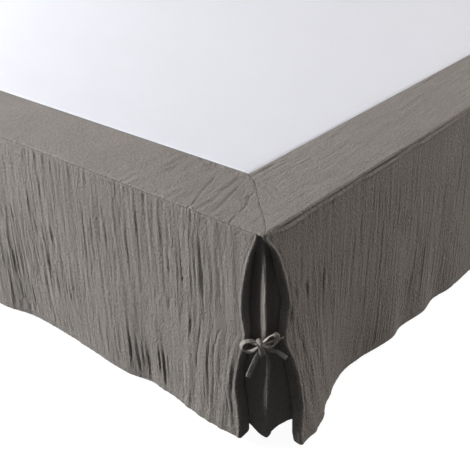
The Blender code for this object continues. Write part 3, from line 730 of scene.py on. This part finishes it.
def drop_lift(face, cloth_u, fall, folded, rolled, seed):
    """How far a drop's cloth stands off its course. Its first folded columns are the folded end."""
    from_fold = cloth_u - cloth_u[folded]
    on_face = smooth(0.0, 0.006, from_fold)
    if face == "side":
        calm = np.exp(-(((cloth_u - CALM_PLACE) / CALM_REACH) ** 2)) * smooth(CALM_FALL, 0.6 * CALM_FALL, fall)
        strength, creases = SIDE_STRENGTH, SIDE_CREASES
    else:
        calm = 0.0
        strength, creases = FOOT_STRENGTH + FOOT_CORNER_STRENGTH * smooth(0.40, 0.12, cloth_u), FOOT_CREASES
    lift = strength * crinkles(cloth_u, fall, seed) * (1.0 - 0.45 * hem_share(fall))
    lift = lift * (0.35 + 0.65 * on_face) * (1.0 - CALM_SHARE * calm)
    lift = lift + crease_out(creases, cloth_u, fall) * on_face
    lift = lift + FOLD_RIM * np.exp(-((from_fold / FOLD_RIM_REACH) ** 2)) * smooth(0.004, 0.030, fall)
    seam_pucker = noise(cloth_u / 0.0062, fall / 0.05, seed + 20) * np.exp(-fall / 0.012)
    hem_pucker = noise(cloth_u / 0.0085, fall / 0.05, seed + 21) * np.exp(-(((fall - HEM_LINE) / 0.007) ** 2))
    lift = lift + SEAM_PUCKER * seam_pucker + HEM_PUCKER * hem_pucker
    lift = lift * smooth(0.0, 0.0012, fall) * (0.45 + 0.55 * smooth(0.0, 0.018, fall))
    lift = lift + SEAM_ROLL * rolled * np.exp(-(((fall - SEAM_ROLL_FALL) / SEAM_ROLL_REACH) ** 2))
    return lift - STITCH_GROOVE * np.exp(-(((fall - HEM_LINE) / 0.0011) ** 2))


def drop_half(face, side, far_end, near_end, phase, seed):
    """What sheet() needs for one drop, as a grid from its folded end to far_end."""
    falls = hanging_falls()
    split = np.stack([split_edge(face, fall, phase) for fall in falls], axis=1)
    folded = len(split)
    share = stations(near_end, far_end)[:, None] / far_end
    start = split[-1, :, 0][None, :]
    along = start + (far_end - start) * share
    out = face_out(face, along, np.broadcast_to(falls, along.shape), phase) - CLOTH / 2
    along, out = np.concatenate([split[..., 0], along]), np.concatenate([split[..., 1], out])
    fall = np.broadcast_to(falls, along.shape)

    step = np.hypot(np.diff(along, axis=0), np.diff(out, axis=0))
    cloth_u = np.concatenate([np.zeros((1, len(falls))), np.cumsum(step, axis=0)])
    cloth_u = cloth_u - cloth_u[folded] + along[folded]
    on_edge = (np.arange(len(along)) >= folded)[:, None]
    rolled = rolled_share(face, along, on_edge, seed)
    tuck = np.exp(-((fall / (TOP_TUCK_REACH * (1.0 + 0.90 * rolled))) ** 2))
    out = out - TOP_TUCK * (1.0 + 1.3 * rolled) * tuck * on_edge
    x, y = (-out, along) if face == "side" else (along, -out)
    return (
        in_world(side, x, y, height_at(fall)), drop_lift(face, cloth_u, fall, folded, rolled, seed),
        SHEET + (HEM_SHEET - SHEET) * hem_share(fall), np.stack([cloth_u, fall], -1),
        stitch_and_seam_shade_lines(fall, cloth_u, rolled), smooth(near_end - COARSE_BLEND, near_end, along),
    )


def build_drops():
    for side, phase, seed, near_end in (("left", 0.0, 3, NEAR_REACH), ("right", RIGHT_PHASE, 63, OTHER_REACH)):
        grid = drop_half("side", side, BED_LENGTH, near_end, phase, seed)
        drop = sheet(f"drop_{side}_cloth", *grid, gauze, (SIDES[side], 0, 0))
        declare(drop, f"drop_{side}", "taupe_gauze", flat=(2.02, 0.43), held="hung", rests_on=[f"band_{side}"])
    left = drop_half("foot", "left", BED_WIDTH / 2, NEAR_REACH, 0.0, 123)
    right = drop_half("foot", "right", BED_WIDTH / 2, OTHER_REACH, 0.0, 183)
    mirrored = [right[3] * (-1, 1) + (BED_WIDTH, 0), right[4] * (1, -1) + (0, BED_WIDTH), right[5]]
    grid = [np.concatenate([a, b[-2::-1]]) for a, b in zip(left, [*right[:3], *mirrored])]
    drop = sheet("drop_foot_cloth", *grid, gauze, (0, -1, 0))
    declare(drop, "drop_foot", "taupe_gauze", flat=(1.64, 0.43), held="hung", rests_on=["band_foot"])


def build_underlays():
    falls = hanging_falls()[::2]
    for side, seed in (("left", 243), ("right", 303)):
        courses = []
        for fall in falls:
            course = np.stack([spline(STRIP_FALLS, row, fall) for row in STRIP_ROWS])
            courses.append(curve_through(course, 64))
        course = np.stack(courses, axis=1)
        fall = np.broadcast_to(falls, course.shape[:2])
        middle = in_world(side, course[..., 0], course[..., 1], height_at(fall))
        step = np.linalg.norm(np.diff(course, axis=0), axis=2)
        cloth_u = np.concatenate([np.zeros((1, len(falls))), np.cumsum(step, axis=0)])
        lift = UNDERLAY_STRENGTH * crinkles(cloth_u, fall, seed)
        strip = sheet(
            f"underlay_{side}_cloth", middle, lift, SHEET + 0.4 * (HEM_SHEET - SHEET) * hem_share(fall),
            np.stack([cloth_u, fall], -1), stitch_and_seam_shade_lines(fall, cloth_u), 0.0, gauze, (SIDES[side], -1, 0),
        )
        declare(strip, f"underlay_{side}", "taupe_gauze", flat=(0.125, 0.43), held="hung", rests_on=["bed_base"])


def band_lift(x, y, from_outer, from_inner, from_mitre, seed):
    """Crinkles along X and puckers at the seams, quiet at every edge."""
    nearest = np.minimum(np.minimum(from_outer, from_inner), from_mitre)
    lift = crinkles(y, x, seed, BAND_BROAD_SHARE)
    lift = lift + MITRE_PUCKER * noise(x / 0.007, y / 0.007, seed + 30) * np.exp(-from_mitre / 0.010)
    from_side, from_foot = BED_WIDTH / 2 - np.abs(x), y + BED_LENGTH / 2 - BED_SHIFT
    lift = lift + crease_out(BAND_CREASES, from_side, from_foot) * (x < 0)
    edge_pucker = noise((x + y) / 0.0045, (x - y) / 0.02, seed + 31) * np.exp(-from_outer / 0.008)
    lift = (lift + BAND_EDGE_PUCKER * edge_pucker) * smooth(0.0, 0.004, nearest)
    return lift - SEAM_DIP * np.exp(-((np.minimum(from_inner, from_mitre) / SEAM_REACH) ** 2))


def mitre_start(from_outer, sign):
    """Where the mitre seam lies along a band, at each distance from its outer edge."""
    place = np.linspace(0.0, BAND_WIDTH, 200)
    bow = spline(MITRE_PLACES, MITRE_BOW, place)
    return np.interp(from_outer, place - sign * bow, place + sign * bow)


def band_rows(between_seams):
    """Distances from a band's outer edge, close together at both of its long seams."""
    outer = [0.0, 0.0008, 0.0018, 0.0030, 0.0045]
    return np.concatenate([outer, between_seams, BAND_WIDTH - np.array([0.0035, 0.0020, 0.0008, 0.0002])])


def build_bands():
    """The mitred band: each piece is a grid from its outer edge, which rolls down to the drop, to the deck."""
    across = band_rows(np.linspace(0.0085, BAND_WIDTH - 0.006, 30))
    for side in SIDES:
        near, close_end = (NEAR_REACH, CLOSE_REACH) if side == "left" else (0.25, 0.02)
        wide = stations(near, BED_LENGTH)
        close = np.arange(0.0034, close_end, CLOSE_STEP)
        along = np.concatenate([[0.0, 0.0010, 0.0022], close, wide[wide > close[-1] + 0.0008]])
        from_outer = np.broadcast_to(across, (len(along), len(across)))
        start = mitre_start(from_outer, -1.0)
        down_bed = start + (BED_LENGTH - start) * (along / BED_LENGTH)[:, None]
        coarse = BAND_COARSE_SHARE * smooth(near - COARSE_BLEND, near, along)[:, None]
        add_band(f"band_{side}", side, from_outer, down_bed, (down_bed - start) / math.sqrt(2), coarse, 363, False)
    across = band_rows(np.arange(0.0070, BAND_WIDTH - 0.005, 0.0023))
    share = np.concatenate([
        [0.0, 0.0004, 0.0010, 0.0018], np.linspace(0.003, 0.160, 112), np.linspace(0.164, 0.42, 60),
        np.linspace(0.43, 0.997, 90), [0.9982, 0.9990, 0.9996, 1.0],
    ])
    from_outer = np.broadcast_to(across, (len(share), len(across)))
    start = mitre_start(from_outer, 1.0)
    along_foot = start + (BED_WIDTH - 2 * start) * share[:, None]
    to_mitre = np.minimum(along_foot - start, BED_WIDTH - along_foot - start) / math.sqrt(2)
    coarse = BAND_COARSE_SHARE * smooth(0.42, 0.50, share)[:, None]
    add_band("band_foot", "left", from_outer, along_foot, to_mitre, coarse, 423, True)


def add_band(node, side, from_outer, along, from_mitre, coarse, seed, is_foot):
    from_inner = BAND_WIDTH - from_outer
    roll = smooth(BAND_ROLL, 0.0, from_outer) * BAND_ROLL_DEPTH
    inset = 0.0004 + 0.0010 * smooth(BAND_ROLL * 0.5, 0.0, from_outer)
    place = from_outer + inset * smooth(BAND_ROLL, 0.0, from_outer)
    corner_x, corner_y = (along, place) if is_foot else (place, along)
    middle = in_world(side, corner_x, corner_y, BAND_HEIGHT - roll)
    x, y = middle[..., 0], middle[..., 1]
    lift = band_lift(x, y, from_outer, from_inner, from_mitre, seed)
    # Distance from the band's seams and mitre, for the stitches and the painted seam shade
    nearest = np.minimum(np.minimum(from_outer + SEAM_LINE_FADE, from_inner), 1.5 * from_mitre)
    line_place = np.where(from_mitre < np.minimum(from_outer, from_inner), from_outer * math.sqrt(2), along)
    band = sheet(
        f"{node}_cloth", middle, lift, SHEET, np.stack([y, x], -1), np.stack([nearest, line_place], -1), coarse,
        gauze, (0, 0, 1),
    )
    flat, area = ((1.60, 0.17), BAND_FOOT_AREA) if is_foot else ((2.00, 0.17), BAND_SIDE_AREA)
    declare(band, node, "taupe_gauze", flat=flat, area=area, held="laid", rests_on=["bed_base"])


def build_deck():
    """The white platform cloth: nearly flat, with long soft wrinkles and its seam dip at the band."""
    half_x, top_y = BED_WIDTH / 2 - BAND_WIDTH, BED_LENGTH - BAND_WIDTH
    edge = np.array([0.0, 0.0010, 0.0025, 0.0050])
    x = np.concatenate([-half_x + edge, np.linspace(-half_x + 0.012, half_x - 0.012, 84), half_x - edge[::-1]])
    y = np.concatenate([edge, np.linspace(0.012, top_y, 116)])
    x, y = np.meshgrid(x, y, indexing="ij")
    from_seam = np.minimum(half_x - np.abs(x), y)
    wrinkle = 0.0006 * noise(x / 0.16, y / 0.30, 501) + 0.0003 * noise(x / 0.07, y / 0.11, 502)
    wrinkle += 0.0007 * np.maximum(noise(x / 0.05 + y / 0.16, y / 0.30 - x / 0.30, 503), 0.0) ** 3
    lift = (0.0004 + wrinkle) * smooth(0.0, 0.030, from_seam) - SEAM_DIP * np.exp(-((from_seam / SEAM_REACH) ** 2))
    middle = np.stack([x, y + BAND_WIDTH - BED_LENGTH / 2 + BED_SHIFT, np.full(x.shape, DECK_HEIGHT)], -1)
    # Distance from the seam with the band, for the stitches and the painted seam shade
    stitch_and_seam_shade = np.stack([from_seam, np.where(half_x - np.abs(x) < y, y, x)], -1)
    deck = sheet("deck_panel_cloth", middle, lift, SHEET, np.stack([x, y], -1), stitch_and_seam_shade, 0.0, cotton, (0, 0, 1))
    declare(deck, "deck_panel", "white_cotton", flat=(1.30, 1.85), held="laid", rests_on=["bed_base"])


def bow_place(side, points):
    """Places by the bow, from across the corner, inward from it, and height above the hem."""
    points = np.asarray(points, float)
    across, inward, height = points[..., 0], points[..., 1], points[..., 2]
    return in_world(side, (inward + across) / math.sqrt(2), (inward - across) / math.sqrt(2), height + HEM_CLEARANCE)


def tape(name, path, facing, widths, thicknesses, seed, open_end=False):
    """A flattened tube along a path. facing is the direction of its width at each point of the path."""
    sides = 20
    ahead = np.gradient(path, axis=0)
    ahead /= np.linalg.norm(ahead, axis=1, keepdims=True)
    facing = facing - ahead * (facing * ahead).sum(1, keepdims=True)
    facing /= np.linalg.norm(facing, axis=1, keepdims=True)
    second = np.cross(ahead, facing)
    angle = np.linspace(0.0, 2 * math.pi, sides, endpoint=False)
    across, up = np.cos(angle), np.sin(angle)
    up = np.sign(up) * np.abs(up) ** 0.8
    rings = (
        path[:, None, :]
        + facing[:, None, :] * (widths[:, None] * across)[..., None]
        + second[:, None, :] * (thicknesses[:, None] * up)[..., None]
    )
    length = np.concatenate([[0.0], np.cumsum(np.linalg.norm(np.diff(path, axis=0), axis=1))])
    ripple = noise(length[:, None] / 0.0050, across[None, :] * 1.3 + 3.0, seed)
    ripple = ripple + 0.6 * noise(length[:, None] / 0.0022, across[None, :] * 2.0 + 9.0, seed + 1)
    rings = rings + second[:, None, :] * (0.00022 * ripple)[..., None]
    if open_end:
        inner = path[-1] + (rings[-1] - path[-1]) * 0.72
        deep = inner - ahead[-1] * 0.004
        rings = np.concatenate([rings, inner[None], deep[None]])
        length = np.concatenate([length, [length[-1] + 0.001, length[-1] + 0.004]])
    count = len(rings)
    index = np.arange(count * sides).reshape(count, sides)
    beside = np.roll(index, -1, axis=1)
    faces = np.stack([index[:-1], beside[:-1], beside[1:], index[1:]], -1).reshape(-1, 4).tolist()
    faces += [index[0, ::-1].tolist(), index[-1].tolist()]
    mesh = bpy.data.meshes.new(name)
    mesh.from_pydata(rings.reshape(-1, 3).tolist(), [], faces)
    mesh.update()
    around = np.broadcast_to(angle * TAPE_HALF_WIDTH / 1.6, (count, sides))
    cloth = np.stack([around, np.broadcast_to(length[:, None], (count, sides))], -1).reshape(-1, 2)
    add_uv(mesh, "cloth", cloth)
    add_uv(mesh, "stitch_and_seam_shade", np.stack([np.full(len(cloth), 0.5), cloth[:, 1]], -1))
    mesh.shade_smooth()
    return add_object(name, mesh, lit_tie_gauze)


def lead_points(side, face):
    edge = float(edge_value(face + "_edge", TIE_FALL)) - LEAD_CLEARANCE
    out = float(face_out(face, edge, TIE_FALL, 0.0)) - FOLD_RADIUS
    x, y = (-out, edge) if face == "side" else (edge, -out)
    start = np.array([(x - y) / math.sqrt(2), (x + y) / math.sqrt(2), DROP - TIE_FALL])
    end = np.array([KNOT.across, KNOT.inward, KNOT.height])
    return start, (start + end) / 2 + (0.0, 0.0010, -0.0005), end


def knot(name, side, face):
    """Half of the knot: a wrapped tape, wound from the ties, as a lump with creased turns."""
    sign = -1.0 if face == "side" else 1.0
    u = np.linspace(0.0, math.pi, 17)[:, None]
    v = np.linspace(0.0, 2 * math.pi, 28, endpoint=False)[None, :]
    turn = np.sin(3.0 * (np.cos(u) + 0.25 * np.sin(v)) + sign)
    swell = 1.0 + 0.10 * turn + 0.05 * noise(u * 2.2 + 0 * v, v * 1.2 + 0 * u, 611 + sign)
    across = np.sin(u) * np.cos(v) * KNOT_HALF_SIZES[0] * swell
    inward = np.sin(u) * np.sin(v) * KNOT_HALF_SIZES[1] * swell
    height = np.cos(u) * KNOT_HALF_SIZES[2] * swell + 0 * v
    across = np.where(across * sign > 0.0, across, across * 0.03)
    across = KNOT.across + across + KNOT_LEAN * height
    points = np.stack([across, KNOT.inward + inward + 0 * u, KNOT.height + height], -1)
    count, sides = points.shape[:2]
    index = np.arange(count * sides).reshape(count, sides)
    beside = np.roll(index, -1, axis=1)
    faces = np.stack([index[:-1], index[1:], beside[1:], beside[:-1]], -1).reshape(-1, 4)
    mesh = bpy.data.meshes.new(name)
    mesh.from_pydata(bow_place(side, points).reshape(-1, 3).tolist(), [], faces.tolist())
    mesh.update()
    cloth = np.stack([np.broadcast_to(v * 0.003, (count, sides)), np.broadcast_to(u * 0.004, (count, sides))], -1)
    add_uv(mesh, "cloth", cloth.reshape(-1, 2))
    add_uv(mesh, "stitch_and_seam_shade", np.full((count * sides, 2), 0.5))
    mesh.shade_smooth()
    return add_object(name, mesh, lit_tie_gauze)


def build_bows():
    """Each tie is a lead from its fold edge, half of the knot, a loop and a free tail with an open end."""
    for side in SIDES:
        centre = bow_place(side, (0.0, 0.0, 0.0))
        across, inward = (bow_place(side, step) - centre for step in ((1.0, 0.0, 0.0), (0.0, 1.0, 0.0)))
        level = np.array([0.0, 0.0, 1.0])
        for face, loop, tail, seed in (("side", SIDE_LOOP, SIDE_TAIL, 701), ("foot", FOOT_LOOP, FOOT_TAIL, 741)):
            node = f"tie_{face}_{side}"
            sign = -1.0 if face == "side" else 1.0
            points = bow_place(side, curve_through(loop, 52))
            t = np.linspace(0.0, 1.0, len(points))
            pinch = 0.50 + 0.50 * smooth(0.0, 0.20, t) * smooth(1.0, 0.80, t)
            turn = np.sin(math.pi * t)[:, None] ** 3 * LOOP_TURN[face]
            facing = inward + LOOP_TILT * level + turn * across
            spread = 1.0 + LOOP_SPREAD[face] * np.sin(math.pi * t) ** 3
            thick = TAPE_HALF_THICKNESS * (1.7 - 0.7 * pinch)
            tie = [tape(f"{node}_loop", points, facing, TAPE_HALF_WIDTH * pinch * spread, thick, seed)]
            points = bow_place(side, curve_through(lead_points(side, face), 12))
            facing = np.tile(level - 0.3 * inward, (len(points), 1))
            tie.append(tape(f"{node}_lead", points, facing, np.full(12, 0.0030), np.full(12, 0.0011), seed + 5))
            tie.append(knot(f"{node}_knot", side, face))
            if face == "side":
                points = bow_place(side, curve_through(WRAP, 20))
                t = np.linspace(-1.0, 1.0, 20)
                tie.append(tape(
                    f"{node}_wrap", points, np.tile(across - 0.9 * inward, (20, 1)), 0.0056 - 0.0026 * t**2,
                    0.0024 - 0.0012 * t**2, seed + 7,
                ))
            for piece in tie:
                declare(piece, node, "taupe_gauze")
            half_width = TAIL_HALF_WIDTH[face]
            route = bow_place(side, curve_through(tail, 30))
            t = np.linspace(0.0, 1.0, len(route))
            widths = half_width * (0.60 + 0.40 * smooth(0.0, 0.35, t))
            thick = TAPE_HALF_THICKNESS * (1.4 - 0.4 * smooth(0.0, 0.4, t) + 0.9 * smooth(0.80, 1.0, t))
            facing = np.tile(across + 0.35 * sign * level - 0.25 * inward, (len(route), 1))
            tail_piece = tape(f"tail_{face}_{side}_tape", route, facing, widths, thick, seed + 9, open_end=True)
            declare(tail_piece, f"tail_{face}_{side}", "taupe_gauze")


def finish_support():
    for name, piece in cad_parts.items():
        if name.startswith("bed_"):
            material = ticking if name == "bed_base" else wood
            piece.data.materials.clear()
            piece.data.materials.append(material)


def area_light(name, place, towards, size, power, colour):
    data = bpy.data.lights.new(name, "AREA")
    data.shape = "SQUARE"
    data.size = size
    data.energy = power
    data.color = colour
    light = bpy.data.objects.new(name, data)
    light.location = place
    light.rotation_euler = (Vector(towards) - Vector(place)).to_track_quat("-Z", "Y").to_euler()
    bpy.context.scene.collection.objects.link(light)


def build_stage():
    """A pale floor that lights up evenly, a pale room, and soft light from the upper left."""
    material, tree, shader = new_material("floor", 0.9)
    shader.inputs["Base Color"].default_value = (0.08, 0.08, 0.08, 1.0)
    shader.inputs["Emission Color"].default_value = (1.0, 1.0, 1.0, 1.0)
    shader.inputs["Emission Strength"].default_value = FLOOR_GLOW
    mesh = bpy.data.meshes.new("floor")
    corners = [(x * FLOOR_REACH, y * FLOOR_REACH, 0.0) for x, y in ((-1, -1), (1, -1), (1, 1), (-1, 1))]
    mesh.from_pydata(corners, [], [(0, 1, 2, 3)])
    floor = add_object("floor", mesh, material)
    floor.visible_diffuse = False
    world = bpy.data.worlds.new("room")
    world.use_nodes = True
    background = world.node_tree.nodes["Background"]
    background.inputs["Color"].default_value = (1.0, 1.0, 1.0, 1.0)
    background.inputs["Strength"].default_value = ROOM
    world.cycles_visibility.diffuse = False
    world.cycles_visibility.glossy = False
    bpy.context.scene.world = world
    bpy.context.scene.view_settings.view_transform = "Standard"
    for lamp in LAMPS:
        area_light(*lamp)


def build_camera():
    data = bpy.data.cameras.new("camera")
    data.sensor_width = SENSOR
    data.lens = SENSOR * CAMERA_FOCAL_PIXELS / PICTURE_PIXELS
    data.clip_end = 60.0
    camera = bpy.data.objects.new("camera", data)
    right, up = Vector(CAMERA_RIGHT).normalized(), Vector(CAMERA_UP)
    back = right.cross(up).normalized()
    up = back.cross(right)
    turn = Matrix((right, up, back)).transposed().to_4x4()
    camera.matrix_world = Matrix.Translation(CAMERA_PLACE) @ turn
    bpy.context.scene.collection.objects.link(camera)
    bpy.context.scene.camera = camera


build_camera()
build_bows()
build_drops()
build_underlays()
build_bands()
build_deck()
finish_support()
build_stage()
